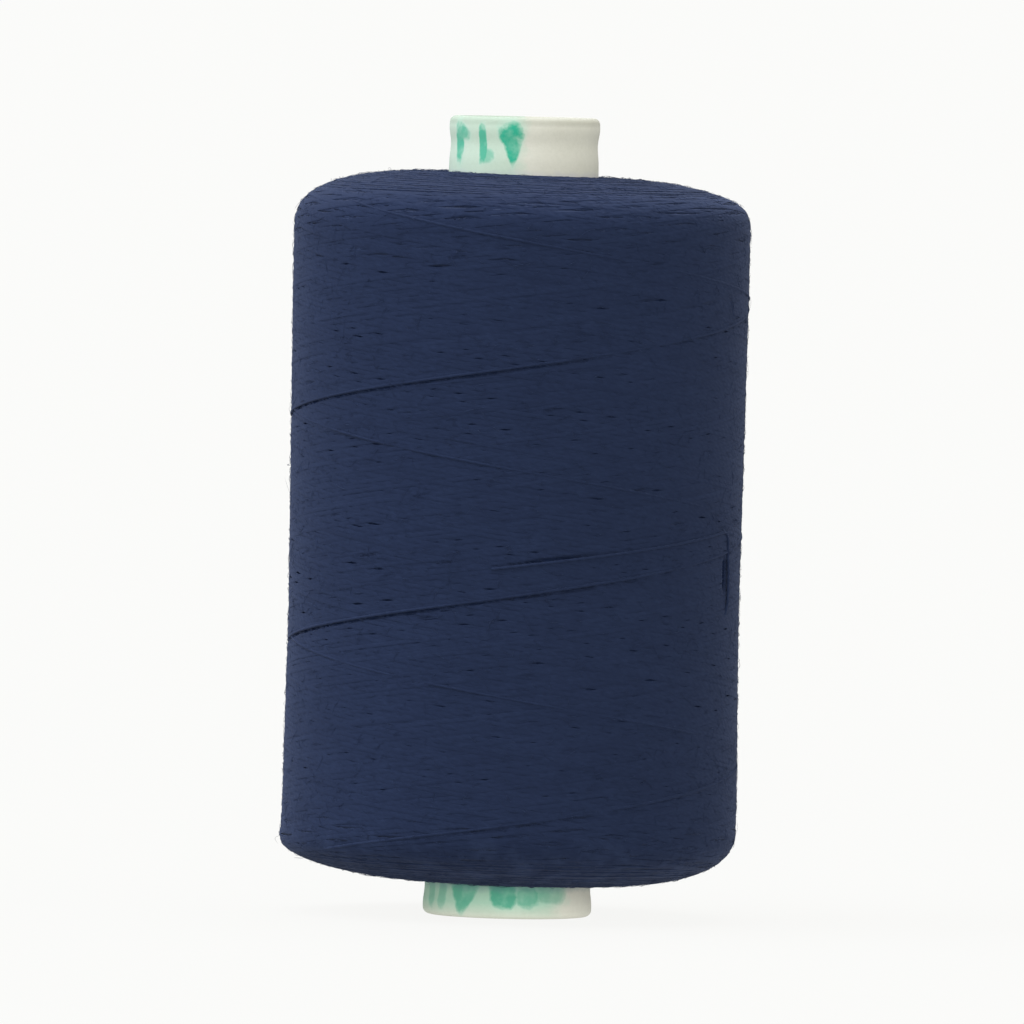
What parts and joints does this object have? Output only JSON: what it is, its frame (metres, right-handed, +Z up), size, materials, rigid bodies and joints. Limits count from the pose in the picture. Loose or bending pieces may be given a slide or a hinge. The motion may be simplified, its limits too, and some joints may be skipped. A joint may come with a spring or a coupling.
{
  "type": "spool of sewing thread",
  "caption": "Sewing thread cross-wound into a domed cylinder on a slightly tapered paper tube that stands out at both ends, for a spool pin.",
  "frame": {"origin": "middle of the tube's wide foot, on the surface that the spool stands on", "axes": "+Z up along the tube's axis towards its narrow end, -Y the front, +X to the right seen from the front"},
  "size_m": [0.0361, 0.0356, 0.061],
  "materials": {
    "cover_paper": "matte",
    "tube_board": "matte",
    "liner_paper": "matte",
    "thread": "matte"
  },
  "bodies": {
    "root": {"tube_cover": "cover_paper", "tube_board": "tube_board", "tube_liner": "liner_paper", "thread_first_turns": "thread", "thread_winding": "thread", "thread_down_pass": "thread", "thread_up_pass": "thread", "thread_end": "thread"}
  },
  "joints": []
}
